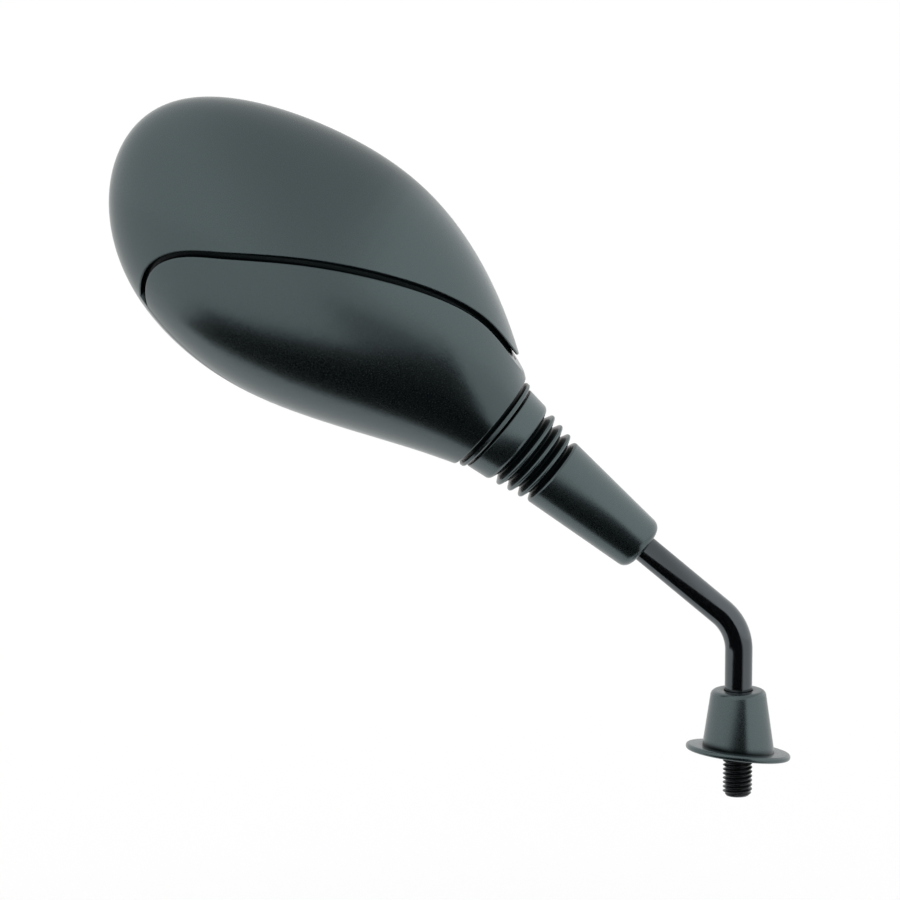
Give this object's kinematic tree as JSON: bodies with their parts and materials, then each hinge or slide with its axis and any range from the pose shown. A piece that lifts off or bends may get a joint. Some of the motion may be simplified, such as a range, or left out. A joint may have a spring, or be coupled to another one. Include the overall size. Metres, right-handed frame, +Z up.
{
  "type": "motorcycle mirror",
  "caption": "Rear-view mirror for a scooter handlebar: convex glass in a two-part egg-shaped plastic head, on a ball joint with a rubber boot, a bent stem and a threaded stud.",
  "frame": {"origin": "on the stud's axis at the mounting plane, where the stud leaves the lever perch", "axes": "+Z up along the stud towards the bend, -X along the arm towards the head, +Y the way the glass faces"},
  "size_m": [0.2284, 0.053, 0.2372],
  "materials": {
    "moulded_grey": "fine spark texture, charcoal",
    "moulded_black": "satin black",
    "boot_rubber": "satin moulded rubber",
    "foam": "closed-cell foam",
    "black_paint": "gloss black",
    "zinc_steel": "zinc plated",
    "mirror_glass": "polished, silvered on the back"
  },
  "bodies": {
    "stem": {"stem": "black_paint", "pivot_ball": "zinc_steel"},
    "boot": {"rubber_boot": "boot_rubber"},
    "liner": {"ball_liner": "moulded_black"},
    "head": {"housing_shell": "moulded_grey", "lower_cover": "moulded_grey", "mirror_glass": "mirror_glass", "glass_pad": "foam", "joint_carrier": "moulded_black", "carrier_screws": "zinc_steel", "spring_plate": "zinc_steel", "plate_screws": "zinc_steel", "joint_spring": "zinc_steel", "friction_cup": "moulded_black"},
    "base_cap": {"base_cap": "boot_rubber"},
    "nut_washer": {"nut_washer": "zinc_steel"},
    "lock_nut": {"lock_nut": "zinc_steel"}
  },
  "joints": [
    {"name": "head_turn", "type": "hinge", "parent": "stem", "child": "boot", "pos_m": [-0.07124, 0, 0.10378], "axis": [-0.766, 0, 0.6428], "continuous": true},
    {"name": "head_nod", "type": "hinge", "parent": "boot", "child": "liner", "pos_m": [-0.07124, 0, 0.10378], "axis": [0.6428, 0, 0.766], "range_deg": [-15, 15], "deforming": ["rubber_boot"]},
    {"name": "head_lean", "type": "hinge", "parent": "liner", "child": "head", "pos_m": [-0.07124, 0, 0.10378], "axis": [0, 1, 0], "range_deg": [-15, 15], "deforming": ["rubber_boot"]},
    {"name": "cap_slide", "type": "slide", "parent": "stem", "child": "base_cap", "axis": [0, 0, 1], "range_m": [0, 0.012]},
    {"name": "washer_climb", "type": "slide", "parent": "stem", "child": "nut_washer", "axis": [0, 0, 1], "range_m": [-0.0075, 0.0015]},
    {"name": "nut_turn", "type": "hinge", "parent": "nut_washer", "child": "lock_nut", "pos_m": [0, 0, 0], "axis": [0, 0, 1], "range_deg": [-1800, 360]}
  ],
  "couplings": [
    {"joint": "washer_climb", "follows": "nut_turn", "m_per_rad": 0.00023873}
  ]
}
